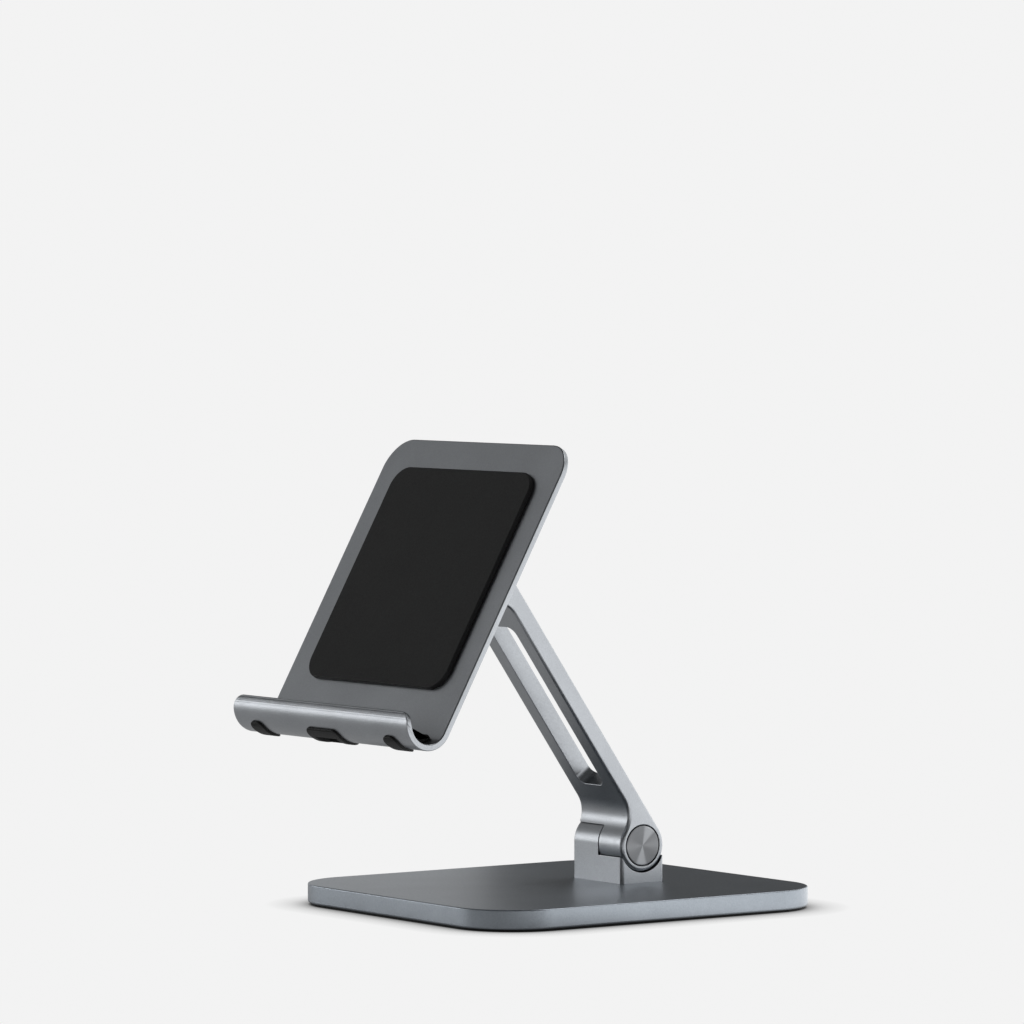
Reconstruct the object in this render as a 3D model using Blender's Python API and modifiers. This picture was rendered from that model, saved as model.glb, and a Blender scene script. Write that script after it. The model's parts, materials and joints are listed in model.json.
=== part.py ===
"""Tablet stand: a weighted base plate, a slotted arm between two friction hinges, and a hooked holder plate.

Metres, +Z up, +X to the right of the person who uses it, +Y away from them.
The origin is the centre of the base pad's underside, which the stand rests on.
Run with: blender --background --python part.py
"""

import math

import bmesh
import bpy

# --- Clearances -------------------------------------------------------------------------------
GAP = 0.0003
CUT_PAST = 0.002

# --- Base -------------------------------------------------------------------------------------
BASE_WIDTH = 0.1352
BASE_DEPTH = 0.1503
BASE_CORNER = 0.0245
BASE_THICKNESS = 0.0071
BASE_LIFT = 0.0007
BASE_TOP_CHAMFER = 0.0005
BASE_BOTTOM_ROUND = 0.0008
PAD_THICKNESS = 0.0015
PAD_INSET = 0.0010
POCKET_DEPTH = 0.0020

# --- Hinges, both the same --------------------------------------------------------------------
HINGE_WIDTH = 0.0300
BARREL_RADIUS = 0.0096
CRADLE_CLEARANCE = 0.0003
CRADLE_WALL_BELOW_AXIS = 0.0040
HINGE_STANDOFF = 0.0136
KNUCKLE_SPLIT_X = 0.0007
HINGE_Y = 0.02764
EDGE_ROUND = 0.0014
AXLE_RADIUS = 0.0030
AXLE_HEAD_OVERHANG = 0.0025
AXLE_HEAD_THICKNESS = 0.0031
SOCKET_SHARE_OF_AXLE = 0.75
SOCKET_DEPTH = 0.0016
CAP_RIM = 0.00235
CAP_THICKNESS = 0.0015
CAP_EDGE = 0.0003
COUNTERBORE_CLEARANCE = 0.0005
FRICTION_WASHER_OVERHANG = 0.0033
FRICTION_WASHER_THICKNESS = 0.0009
STEEL_WASHER_THICKNESS = 0.0008
DISC_SPRING_HEIGHT = 0.0010
DISC_SPRING_STOCK = 0.0006
NUT_THICKNESS = 0.0030
AXLE_PAST_NUT = 0.0002

# --- Screws that hold the two blocks ----------------------------------------------------------
SCREW_FROM_END = 0.0055
SCREW_FROM_SIDE = 0.0030
BASE_SCREW_RADIUS = 0.0020
BASE_SCREW_HEAD_RADIUS = 0.0036
BASE_SCREW_HEAD_THICKNESS = 0.0020
BRACKET_SCREW_RADIUS = 0.0015
BRACKET_SCREW_HEAD_RADIUS = 0.0025
BRACKET_SCREW_HEAD_THICKNESS = 0.0010
CRADLE_FLOOR_WALL = 0.00035

# --- Arm --------------------------------------------------------------------------------------
ARM_LENGTH = 0.1212
ARM_LEAN = math.radians(35.06)
ARM_FRONT_OFFSET = 0.00294
ARM_NECK_FILLET = 0.0100
SLOT_WIDTH = 0.0150
SLOT_END_MARGIN = 0.0246
SLOT_CORNER = 0.0035

# --- Holder -----------------------------------------------------------------------------------
HOLDER_LEAN = math.radians(-29.32)
HOLDER_WIDTH = 0.1102
HOLDER_THICKNESS = 0.0023
HOLDER_CORNER = 0.0120
HOLDER_ABOVE_HINGE = 0.0465
HOOK_BELOW_HINGE = 0.06681
HOOK_RADIUS = 0.00947
HOOK_LIP_CORNER = 0.0050
HOLDER_EDGE_ROUND = 0.0003
FOLD_SHOULDER = 0.0004

# --- Rubber on the holder ---------------------------------------------------------------------
BACK_GRIP_SIDE_MARGIN = 0.0121
BACK_GRIP_CORNER = 0.0080
BACK_GRIP_THICKNESS = 0.0020
BACK_GRIP_POCKET = 0.0006
BACK_GRIP_TOP_MARGIN = 0.0120
BACK_GRIP_ABOVE_HOOK = 0.01566
HOOK_GRIP_FROM_SIDE = 0.0131
HOOK_SLOT_WIDTH = 0.0080
CABLE_SLOT_WIDTH = 0.0200
CABLE_NOTCH_WIDTH = 0.0130
HOOK_SLOT_ROUND = 0.0030
HOOK_SLOT_START = math.radians(57)
HOOK_SLOT_END = math.radians(126)
CABLE_NOTCH_AT = math.radians(102)
CABLE_NOTCH_DEPTH = 0.0068
CABLE_NOTCH_WALL = 0.0004
GRIP_PROUD = 0.0008
GRIP_FLANGE_THICKNESS = 0.00147
GRIP_FLANGE_PAST_SLOT = 0.0032
GRIP_FLANGE_START = math.radians(25)
GRIP_FLANGE_END = math.radians(160)

# --- Worked out from the sizes above ----------------------------------------------------------
BASE_TOP = BASE_LIFT + BASE_THICKNESS
HINGE_Z = BASE_TOP + HINGE_STANDOFF
HINGE_HALF = HINGE_WIDTH / 2
BLOCK_INNER_X = KNUCKLE_SPLIT_X - GAP / 2
ARM_INNER_X = KNUCKLE_SPLIT_X + GAP / 2
CRADLE_RADIUS = BARREL_RADIUS + CRADLE_CLEARANCE
CAP_RADIUS = BARREL_RADIUS - CAP_RIM
AXLE_HEAD_RADIUS = AXLE_RADIUS + AXLE_HEAD_OVERHANG
COUNTERBORE_RADIUS = AXLE_HEAD_RADIUS + COUNTERBORE_CLEARANCE
BLOCK_COUNTERBORE_DEPTH = AXLE_HEAD_THICKNESS + 2 * GAP
ARM_COUNTERBORE_DEPTH = (STEEL_WASHER_THICKNESS + 2 * DISC_SPRING_HEIGHT + NUT_THICKNESS
                         + AXLE_PAST_NUT + 5 * GAP)
FRICTION_WASHER_RADIUS = AXLE_RADIUS + FRICTION_WASHER_OVERHANG
WASHER_RECESS = (FRICTION_WASHER_THICKNESS + GAP) / 2
RECESS_FLOOR_X = HINGE_HALF - CAP_THICKNESS - GAP
SCREW_X = HINGE_HALF - SCREW_FROM_END
SCREW_Y = BARREL_RADIUS - SCREW_FROM_SIDE
HOOK_INNER_RADIUS = HOOK_RADIUS - HOLDER_THICKNESS
PLATE_BACK_Y = -HINGE_STANDOFF
PLATE_FRONT_Y = PLATE_BACK_Y - HOLDER_THICKNESS
HOOK_CENTRE_Y = PLATE_BACK_Y - HOOK_RADIUS
HOOK_GRIP_X = HOLDER_WIDTH / 2 - HOOK_GRIP_FROM_SIDE
GRIP_INNER_RADIUS = HOOK_INNER_RADIUS - GAP - GRIP_FLANGE_THICKNESS
CABLE_SLOT_END = CABLE_NOTCH_AT + math.asin((CABLE_NOTCH_DEPTH / 2 + CABLE_NOTCH_WALL) / HOOK_INNER_RADIUS)
BACK_GRIP_WIDTH = HOLDER_WIDTH - 2 * BACK_GRIP_SIDE_MARGIN
BACK_GRIP_HEIGHT = HOLDER_ABOVE_HINGE - BACK_GRIP_TOP_MARGIN + HOOK_BELOW_HINGE - BACK_GRIP_ABOVE_HOOK

# --- Facets -----------------------------------------------------------------------------------
ROUND = 40
SMALL_ROUND = 24
CORNER_STEPS = 10
SLOT_ROUND_STEPS = 5
SLOT_MIDDLE_STEPS = 6


# --- Scene and materials ----------------------------------------------------------------------
def clear_scene():
    for obj in list(bpy.data.objects):
        bpy.data.objects.remove(obj, do_unlink=True)


def new_collection(name):
    collection = bpy.data.collections.new(name)
    bpy.context.scene.collection.children.link(collection)
    return collection


def principled(name, colour, roughness, metallic):
    material = bpy.data.materials.new(name)
    material.use_nodes = True
    shader = material.node_tree.nodes["Principled BSDF"]
    shader.inputs["Base Color"].default_value = (*colour, 1.0)
    shader.inputs["Roughness"].default_value = roughness
    shader.inputs["Metallic"].default_value = metallic
    material.diffuse_color = (*colour, 1.0)
    return material


# --- Outlines: lists of (a, b) points in a plane ----------------------------------------------
def arc(centre, radius, start, end, steps):
    """Points on an arc from start to end, both in radians and both included."""
    angles = [start + (end - start) * i / steps for i in range(steps + 1)]
    return [(centre[0] + radius * math.cos(a), centre[1] + radius * math.sin(a)) for a in angles]


def rounded_rectangle(width, height, corner, steps=CORNER_STEPS):
    points = []
    for quarter, (side_a, side_b) in enumerate(((1, 1), (-1, 1), (-1, -1), (1, -1))):
        centre = (side_a * (width / 2 - corner), side_b * (height / 2 - corner))
        points += arc(centre, corner, quarter * math.pi / 2, (quarter + 1) * math.pi / 2, steps)
    return points


def ring_sector(inner, outer, start, end, steps):
    """A piece of a ring round the hook's centre. Angles run from the lip, down and round to the plate."""
    centre = (HOOK_CENTRE_Y, -HOOK_BELOW_HINGE)
    outside = arc(centre, outer, math.pi + start, math.pi + end, steps)
    inside = arc(centre, inner, math.pi + end, math.pi + start, steps)
    return outside + inside


# --- Solids -----------------------------------------------------------------------------------
# Which way a prism is pushed, and so which axes its outline lies in.
OUTLINE_AXES = {"X": (1, 2, 0), "Y": (2, 0, 1), "Z": (0, 1, 2)}


def new_object(name, mesh, collection, material, parent):
    obj = bpy.data.objects.new(name, mesh)
    collection.objects.link(obj)
    obj.parent = parent
    if material:
        mesh.materials.append(material)
        mesh.shade_smooth()
        mesh.set_sharp_from_angle(angle=math.radians(30))
    else:
        obj.hide_render = True
        obj.display_type = "WIRE"
    return obj


def prism(name, outlines, low, high, along, collection, material, parent):
    """A flat outline, with holes if there is more than one, pushed from low to high along an axis."""
    curve = bpy.data.curves.new(name, "CURVE")
    curve.dimensions = "2D"
    curve.fill_mode = "BOTH"
    curve.extrude = (high - low) / 2
    for outline in outlines:
        spline = curve.splines.new("POLY")
        spline.points.add(len(outline) - 1)
        for point, (a, b) in zip(spline.points, outline):
            point.co = (a, b, 0.0, 1.0)
        spline.use_cyclic_u = True
    guide = bpy.data.objects.new(name + "_outline", curve)
    bpy.context.scene.collection.objects.link(guide)
    graph = bpy.context.evaluated_depsgraph_get()
    mesh = bpy.data.meshes.new_from_object(guide.evaluated_get(graph))
    bpy.data.objects.remove(guide)
    mesh.name = name
    mesh.materials.clear()

    shape = bmesh.new()
    shape.from_mesh(mesh)
    bmesh.ops.remove_doubles(shape, verts=shape.verts, dist=1e-6)
    flat = [edge for edge in shape.edges if len(edge.link_faces) == 2 and edge.calc_face_angle() < 1e-3]
    bmesh.ops.dissolve_edges(shape, edges=flat, use_verts=False)
    first, second, pushed = OUTLINE_AXES[along]
    for vertex in shape.verts:
        a, b, c = vertex.co
        vertex.co[first] = a
        vertex.co[second] = b
        vertex.co[pushed] = c + (low + high) / 2
    turn_outward(shape, mesh)
    return new_object(name, mesh, collection, material, parent)


def turn_outward(shape, mesh):
    """Points every face outward and writes the shape to the mesh."""
    bmesh.ops.recalc_face_normals(shape, faces=shape.faces)
    if shape.calc_volume(signed=True) < 0:
        bmesh.ops.reverse_faces(shape, faces=shape.faces)
    shape.to_mesh(mesh)
    shape.free()


def rounded_sector(name, inner, outer, start, end, x, half, rounding, collection, material, parent):
    """A piece of a ring round the hook's centre, with the corners of both ends rounded."""
    quarter = [math.pi / 2 * i / SLOT_ROUND_STEPS for i in range(SLOT_ROUND_STEPS + 1)]
    ends = [(rounding * (1 - math.cos(a)) / HOOK_RADIUS, half - rounding * (1 - math.sin(a))) for a in quarter]
    first = start + rounding / HOOK_RADIUS
    length = end - start - 2 * rounding / HOOK_RADIUS
    sections = [(start + turn, width) for turn, width in ends]
    sections += [(first + length * i / SLOT_MIDDLE_STEPS, half) for i in range(1, SLOT_MIDDLE_STEPS)]
    sections += [(end - turn, width) for turn, width in reversed(ends)]
    shape = bmesh.new()
    rings = [[shape.verts.new((x + side * width, HOOK_CENTRE_Y - radius * math.cos(angle),
                               -HOOK_BELOW_HINGE - radius * math.sin(angle)))
              for side, radius in ((-1, inner), (1, inner), (1, outer), (-1, outer))]
             for angle, width in sections]
    for near, far in zip(rings, rings[1:]):
        for i in range(4):
            shape.faces.new((near[i], near[(i + 1) % 4], far[(i + 1) % 4], far[i]))
    shape.faces.new(rings[0])
    shape.faces.new(rings[-1])
    bmesh.ops.triangulate(shape, faces=shape.faces)
    mesh = bpy.data.meshes.new(name)
    turn_outward(shape, mesh)
    return new_object(name, mesh, collection, material, parent)


def turned(name, profile, collection, material, parent, closed=False, steps=SMALL_ROUND):
    """A profile of (radius, x) points turned round the X axis. It starts at the +X end and runs to -X."""
    shape = bmesh.new()
    points = [shape.verts.new((radius, 0.0, x)) for radius, x in profile]
    for start, end in zip(points, points[1:]):
        shape.edges.new((start, end))
    if closed:
        shape.edges.new((points[-1], points[0]))
    mesh = bpy.data.meshes.new(name)
    shape.to_mesh(mesh)
    shape.free()
    obj = new_object(name, mesh, collection, material, parent)
    obj.rotation_euler = (0.0, math.pi / 2, 0.0)
    screw = obj.modifiers.new("turn", "SCREW")
    screw.axis = "Z"
    screw.steps = steps
    screw.render_steps = steps
    screw.use_merge_vertices = True
    screw.merge_threshold = 1e-6
    return obj


def rod(name, radius, low_x, high_x, collection, material, parent, steps=ROUND):
    return turned(name, [(0, high_x), (radius, high_x), (radius, low_x), (0, low_x)],
                  collection, material, parent, steps=steps)


def cut(obj, cutter):
    boolean = obj.modifiers.new(cutter.name, "BOOLEAN")
    boolean.operation = "DIFFERENCE"
    boolean.object = cutter


def soften(obj, width, weight_of, segments):
    """Bevels edges by width times the weight that weight_of gives for each edge's middle."""
    shape = bmesh.new()
    shape.from_mesh(obj.data)
    layer = shape.edges.layers.float.new("bevel_weight_edge")
    for edge in shape.edges:
        if edge.calc_face_angle() > math.radians(40):
            edge[layer] = weight_of((edge.verts[0].co + edge.verts[1].co) / 2)
    shape.to_mesh(obj.data)
    shape.free()
    bevel = obj.modifiers.new("soften", "BEVEL")
    bevel.limit_method = "WEIGHT"
    bevel.width = width
    bevel.segments = segments
    bevel.harden_normals = False


def cut_stepped_bore(obj, steps, low_x, frame):
    """Cuts one round hole of several radii along the hinge axis.

    Each step is (radius, the x that it starts at), from +X to -X, and the last one runs on to low_x.
    """
    ends = [x for _, x in steps[1:]] + [low_x]
    profile = [(0, steps[0][1])]
    for (radius, start), end in zip(steps, ends):
        profile += [(radius, start), (radius, end)]
    profile.append((0, low_x))
    cut(obj, turned(f"cut_{obj.name}_{frame.name}", profile, CUTTERS, None, frame, steps=ROUND))


# --- Base -------------------------------------------------------------------------------------
def make_base(root):
    plate = prism("base_plate", [rounded_rectangle(BASE_WIDTH, BASE_DEPTH, BASE_CORNER)],
                  BASE_LIFT, BASE_TOP, "Z", STAND, ALUMINIUM, root)
    top_share = BASE_TOP_CHAMFER / BASE_BOTTOM_ROUND
    soften(plate, BASE_BOTTOM_ROUND, lambda at: top_share if at.z > BASE_TOP - GAP else 1.0, 2)

    pad_width = BASE_WIDTH - 2 * PAD_INSET
    pad_depth = BASE_DEPTH - 2 * PAD_INSET
    pad_corner = BASE_CORNER - PAD_INSET
    prism("base_pad", [rounded_rectangle(pad_width, pad_depth, pad_corner)],
          0.0, PAD_THICKNESS, "Z", STAND, RUBBER, root)
    cut(plate, prism("cut_pad_pocket",
                     [rounded_rectangle(pad_width + 2 * GAP, pad_depth + 2 * GAP, pad_corner + GAP)],
                     -CUT_PAST, PAD_THICKNESS + GAP, "Z", CUTTERS, None, root))

    block_depth = 2 * BARREL_RADIUS
    pocket = [(x * (HINGE_HALF + GAP), HINGE_Y + y * (block_depth / 2 + GAP))
              for x, y in ((1, 1), (-1, 1), (-1, -1), (1, -1))]
    cut(plate, prism("cut_block_pocket", [pocket], BASE_TOP - POCKET_DEPTH, BASE_TOP + CUT_PAST,
                     "Z", CUTTERS, None, root))
    return plate


def make_base_screws(plate, block, hinge):
    """Four pan-head screws that come up through the plate into the block. Their frame points up."""
    head_low = PAD_THICKNESS + GAP - HINGE_Z
    head_high = head_low + BASE_SCREW_HEAD_THICKNESS
    pocket_floor = -HINGE_STANDOFF - POCKET_DEPTH
    tip = -CRADLE_RADIUS - CRADLE_FLOOR_WALL
    ceiling = PAD_THICKNESS + GAP - HINGE_Z
    for number, (side_x, side_y) in enumerate(((1, 1), (-1, 1), (-1, -1), (1, -1)), 1):
        at = bpy.data.objects.new(f"base_screw_{number}_axis", None)
        STAND.objects.link(at)
        at.parent = hinge
        at.location = (side_x * SCREW_X, side_y * SCREW_Y, 0.0)
        at.rotation_euler = (0.0, -math.pi / 2, 0.0)
        turned(f"base_screw_{number}",
               [(0, tip - GAP), (BASE_SCREW_RADIUS, tip - GAP), (BASE_SCREW_RADIUS, head_high),
                (BASE_SCREW_HEAD_RADIUS, head_high), (BASE_SCREW_HEAD_RADIUS, head_low), (0, head_low)],
               STAND, STEEL, at, steps=SMALL_ROUND)
        cut(plate, turned(f"cut_base_screw_{number}_plate",
                          [(0, pocket_floor + CUT_PAST), (BASE_SCREW_RADIUS + GAP, pocket_floor + CUT_PAST),
                           (BASE_SCREW_RADIUS + GAP, head_high + GAP),
                           (BASE_SCREW_HEAD_RADIUS + GAP, head_high + GAP),
                           (BASE_SCREW_HEAD_RADIUS + GAP, ceiling - CUT_PAST / 2),
                           (0, ceiling - CUT_PAST / 2)],
                          CUTTERS, None, at))
        cut(block, rod(f"cut_base_screw_{number}_block", BASE_SCREW_RADIUS + GAP,
                       pocket_floor - CUT_PAST, tip, CUTTERS, None, at, steps=SMALL_ROUND))


# --- Hinge blocks -----------------------------------------------------------------------------
def block_outline(foot, fold_shoulder):
    """Half-round knuckle over a square foot, in (y, z) about the hinge axis.

    With fold_shoulder, the -Y side is cut down to a low shoulder, so that the arm can lie along it.
    """
    radius = BARREL_RADIUS
    if not fold_shoulder:
        return [(radius, -foot)] + arc((0, 0), radius, 0, math.pi, 20) + [(-radius, -foot)]
    shoulder = -radius - FOLD_SHOULDER
    return ([(radius, -foot)] + arc((0, 0), radius, 0, 1.5 * math.pi, 30)
            + [(0, shoulder), (-radius, shoulder), (-radius, -foot)])


def make_block(name, foot, fold_shoulder, frame):
    block = prism(name, [block_outline(foot, fold_shoulder)], -HINGE_HALF, HINGE_HALF, "X",
                  STAND, ALUMINIUM, frame)
    soften(block, EDGE_ROUND, lambda at: 1.0 if abs(at.x) > HINGE_HALF - GAP else 0.0, 3)
    return block


def bore_block(block, frame):
    """Cuts the cradle for the arm's barrel, and the axle's hole through the knuckle.

    The cradle's walls end in flat lands below the axis.
    """
    past = BARREL_RADIUS + CUT_PAST
    above = [(past, -CRADLE_WALL_BELOW_AXIS), (past, past), (-past, past), (-past, -CRADLE_WALL_BELOW_AXIS)]
    cut(block, prism(f"cut_{block.name}_lands", [above], BLOCK_INNER_X, HINGE_HALF + CUT_PAST, "X",
                     CUTTERS, None, frame))
    cut_stepped_bore(block, [
        (CRADLE_RADIUS, HINGE_HALF + CUT_PAST),
        (FRICTION_WASHER_RADIUS + GAP, BLOCK_INNER_X),
        (AXLE_RADIUS + GAP, BLOCK_INNER_X - WASHER_RECESS),
        (COUNTERBORE_RADIUS, -RECESS_FLOOR_X + BLOCK_COUNTERBORE_DEPTH),
        (CAP_RADIUS + GAP, -RECESS_FLOOR_X),
    ], -HINGE_HALF - CUT_PAST, frame)


def make_hinge_pieces(where, frame, arm_frame):
    """The axle bolt and all that is stacked on it, from the bolt's head at -X to the nut at +X."""
    floor = -RECESS_FLOOR_X + BLOCK_COUNTERBORE_DEPTH - GAP
    head = floor - AXLE_HEAD_THICKNESS
    arm_floor = RECESS_FLOOR_X - ARM_COUNTERBORE_DEPTH
    bore = AXLE_RADIUS + GAP

    steel_low = arm_floor + GAP
    spring_low = steel_low + STEEL_WASHER_THICKNESS + GAP
    spring_pitch = DISC_SPRING_HEIGHT + GAP
    nut_low = spring_low + 2 * spring_pitch
    nut_high = nut_low + NUT_THICKNESS

    axle = turned(f"{where}_axle",
                  [(0, nut_high + AXLE_PAST_NUT), (AXLE_RADIUS, nut_high + AXLE_PAST_NUT),
                   (AXLE_RADIUS, floor), (AXLE_HEAD_RADIUS, floor), (AXLE_HEAD_RADIUS, head), (0, head)],
                  STAND, STEEL, frame)
    hexagon = arc((0, 0), AXLE_RADIUS * SOCKET_SHARE_OF_AXLE, 0, math.pi * 5 / 3, 5)
    cut(axle, prism(f"cut_{where}_axle_socket", [hexagon], head - CUT_PAST, head + SOCKET_DEPTH, "X",
                    CUTTERS, None, frame))

    washer_low = BLOCK_INNER_X - WASHER_RECESS + GAP
    ring(f"{where}_friction_washer", bore, FRICTION_WASHER_RADIUS, washer_low,
         washer_low + FRICTION_WASHER_THICKNESS, PLASTIC, frame)
    ring(f"{where}_steel_washer", bore, AXLE_HEAD_RADIUS, steel_low,
         steel_low + STEEL_WASHER_THICKNESS, STEEL, frame)
    cone = DISC_SPRING_HEIGHT - DISC_SPRING_STOCK
    for number in (1, 2):
        low = spring_low + (number - 1) * spring_pitch
        turned(f"{where}_disc_spring_{number}",
               [(bore, low + DISC_SPRING_HEIGHT), (AXLE_HEAD_RADIUS, low + DISC_SPRING_HEIGHT - cone),
                (AXLE_HEAD_RADIUS, low), (bore, low + cone)],
               STAND, STEEL, frame, closed=True)
    prism(f"{where}_lock_nut",
          [arc((0, 0), AXLE_HEAD_RADIUS, 0, math.pi * 5 / 3, 5),
           arc((0, 0), bore, 0, 2 * math.pi * (SMALL_ROUND - 1) / SMALL_ROUND, SMALL_ROUND - 1)],
          nut_low, nut_high, "X", STAND, STEEL, frame)
    cap(f"{where}_cap_right", 1, arm_frame)
    cap(f"{where}_cap_left", -1, frame)


def ring(name, inner, outer, low_x, high_x, material, frame):
    turned(name, [(inner, high_x), (outer, high_x), (outer, low_x), (inner, low_x)],
           STAND, material, frame, closed=True)


def cap(name, side, frame):
    """A pressed disc, flush with the hinge's end face on that side."""
    face = HINGE_HALF
    back = face - CAP_THICKNESS
    disc = turned(name,
                  [(0, face), (CAP_RADIUS - CAP_EDGE, face), (CAP_RADIUS, face - CAP_EDGE),
                   (CAP_RADIUS, back), (0, back)],
                  STAND, SPUN, frame, steps=ROUND)
    if side < 0:
        disc.rotation_euler = (0.0, -math.pi / 2, 0.0)


# --- Arm --------------------------------------------------------------------------------------
def arm_outline():
    """The arm from the side, in (y, z) about the lower hinge axis: +Y is its back, +Z runs up it."""
    radius = BARREL_RADIUS
    fillet = ARM_NECK_FILLET
    centre_y = ARM_FRONT_OFFSET - fillet
    centre_z = math.sqrt((radius + fillet) ** 2 - centre_y ** 2)
    lean = math.atan2(centre_z, centre_y)
    top = ARM_LENGTH
    upper_barrel = arc((0, top), radius, 0, 2 * math.pi - lean, 30)
    upper_neck = arc((centre_y, top - centre_z), fillet, math.pi - lean, 0, 8)
    lower_neck = arc((centre_y, centre_z), fillet, 0, lean - math.pi, 8)
    lower_barrel = arc((0, 0), radius, lean, 2 * math.pi, 30)
    return upper_barrel + upper_neck + lower_neck + lower_barrel


def make_arm(frame, top_frame):
    arm = prism("arm", [arm_outline()], -HINGE_HALF, HINGE_HALF, "X", STAND, ALUMINIUM, frame)
    soften(arm, EDGE_ROUND, lambda at: 1.0, 3)
    for hinge in (frame, top_frame):
        cut_stepped_bore(arm, [
            (CAP_RADIUS + GAP, HINGE_HALF + CUT_PAST),
            (COUNTERBORE_RADIUS, RECESS_FLOOR_X),
            (AXLE_RADIUS + GAP, RECESS_FLOOR_X - ARM_COUNTERBORE_DEPTH),
            (FRICTION_WASHER_RADIUS + GAP, ARM_INNER_X + WASHER_RECESS),
            (CRADLE_RADIUS, ARM_INNER_X),
        ], -HINGE_HALF - CUT_PAST, hinge)
    length = ARM_LENGTH - 2 * SLOT_END_MARGIN
    outline = [(z + ARM_LENGTH / 2, x) for z, x in rounded_rectangle(length, SLOT_WIDTH, SLOT_CORNER, 5)]
    cut(arm, prism("cut_arm_slot", [outline], -BARREL_RADIUS, BARREL_RADIUS + CUT_PAST, "Y",
                   CUTTERS, None, frame))


# --- Holder -----------------------------------------------------------------------------------
def holder_outline():
    """The plate and its hook from the side, in (y, z) about the upper hinge axis."""
    centre = (HOOK_CENTRE_Y, -HOOK_BELOW_HINGE)
    top = HOLDER_ABOVE_HINGE
    outside = arc(centre, HOOK_RADIUS, 0, -math.pi, 24)
    inside = arc(centre, HOOK_INNER_RADIUS, -math.pi, 0, 24)
    return [(PLATE_BACK_Y, top)] + outside + inside + [(PLATE_FRONT_Y, top)]


def cut_corner(plate, name, side, top, radius, low_y, high_y, frame):
    """Rounds one upper corner of a sheet that faces Y, at the holder's side and at height top."""
    x = side * (HOLDER_WIDTH / 2 - radius)
    z = top - radius
    past = radius + CUT_PAST
    quarter = [(z + radius * math.sin(a), x + side * radius * math.cos(a))
               for a in (math.pi / 2 * i / CORNER_STEPS for i in range(CORNER_STEPS + 1))]
    outside = [(z + past, x), (z + past, x + side * past), (z, x + side * past)]
    cut(plate, prism(f"cut_{name}", [quarter + outside], low_y, high_y, "Y", CUTTERS, None, frame))


def make_holder(frame):
    plate = prism("holder_plate", [holder_outline()], -HOLDER_WIDTH / 2, HOLDER_WIDTH / 2, "X",
                  STAND, ALUMINIUM, frame)
    soften(plate, HOLDER_EDGE_ROUND, lambda at: 1.0, 1)
    for side, side_name in ((-1, "left"), (1, "right")):
        cut_corner(plate, f"plate_corner_{side_name}", side, HOLDER_ABOVE_HINGE, HOLDER_CORNER,
                   PLATE_FRONT_Y - CUT_PAST, PLATE_BACK_Y + CUT_PAST, frame)
        cut_corner(plate, f"lip_corner_{side_name}", side, -HOOK_BELOW_HINGE, HOOK_LIP_CORNER,
                   HOOK_CENTRE_Y - HOOK_RADIUS - CUT_PAST, HOOK_CENTRE_Y - HOOK_RADIUS / 2, frame)
    return plate


def make_back_grip(plate, frame):
    middle = HOLDER_ABOVE_HINGE - BACK_GRIP_TOP_MARGIN - BACK_GRIP_HEIGHT / 2
    floor = PLATE_FRONT_Y + BACK_GRIP_POCKET

    def outline(grow):
        flat = rounded_rectangle(BACK_GRIP_HEIGHT + 2 * grow, BACK_GRIP_WIDTH + 2 * grow,
                                 BACK_GRIP_CORNER + grow, 6)
        return [(z + middle, x) for z, x in flat]

    prism("back_grip_pad", [outline(0.0)], floor - GAP - BACK_GRIP_THICKNESS, floor - GAP, "Y",
          STAND, RUBBER, frame)
    cut(plate, prism("cut_back_grip_pocket", [outline(GAP)], PLATE_FRONT_Y - CUT_PAST, floor, "Y",
                     CUTTERS, None, frame))


def make_hook_grip(name, plate, x, slot_width, slot_end, frame):
    """A moulded grip: a curved pad inside the hook and a plug that stands out through the hook's slot."""
    def piece(label, inner, outer, start, end, width, collection, material, rounding):
        if rounding:
            return rounded_sector(label, inner, outer, start, end, x, width / 2, rounding,
                                  collection, material, frame)
        return prism(label, [ring_sector(inner, outer, start, end, 14)], x - width / 2, x + width / 2,
                     "X", collection, material, frame)

    past = CUT_PAST
    slack = GAP / HOOK_RADIUS
    cut(plate, piece(f"cut_{name}_slot", HOOK_INNER_RADIUS - past, HOOK_RADIUS + past,
                     HOOK_SLOT_START, slot_end, slot_width, CUTTERS, None, HOOK_SLOT_ROUND))
    flange_outer = HOOK_INNER_RADIUS - GAP
    grip = piece(name, GRIP_INNER_RADIUS, flange_outer, GRIP_FLANGE_START, GRIP_FLANGE_END,
                 slot_width + 2 * GRIP_FLANGE_PAST_SLOT, STAND, RUBBER, 0.0)
    plug = piece(f"join_{name}_plug", HOOK_INNER_RADIUS - past, HOOK_RADIUS + past,
                 HOOK_SLOT_START + slack, slot_end - slack, slot_width - 2 * GAP,
                 CUTTERS, None, HOOK_SLOT_ROUND - GAP)
    shell = piece(f"keep_{name}_shell", (GRIP_INNER_RADIUS + flange_outer) / 2, HOOK_RADIUS + GRIP_PROUD,
                  HOOK_SLOT_START - slack, slot_end + slack, slot_width + 2 * GAP,
                  CUTTERS, None, 0.0)
    keep = plug.modifiers.new("keep", "BOOLEAN")
    keep.operation = "INTERSECT"
    keep.object = shell
    join = grip.modifiers.new("join", "BOOLEAN")
    join.operation = "UNION"
    join.object = plug
    return grip


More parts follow.
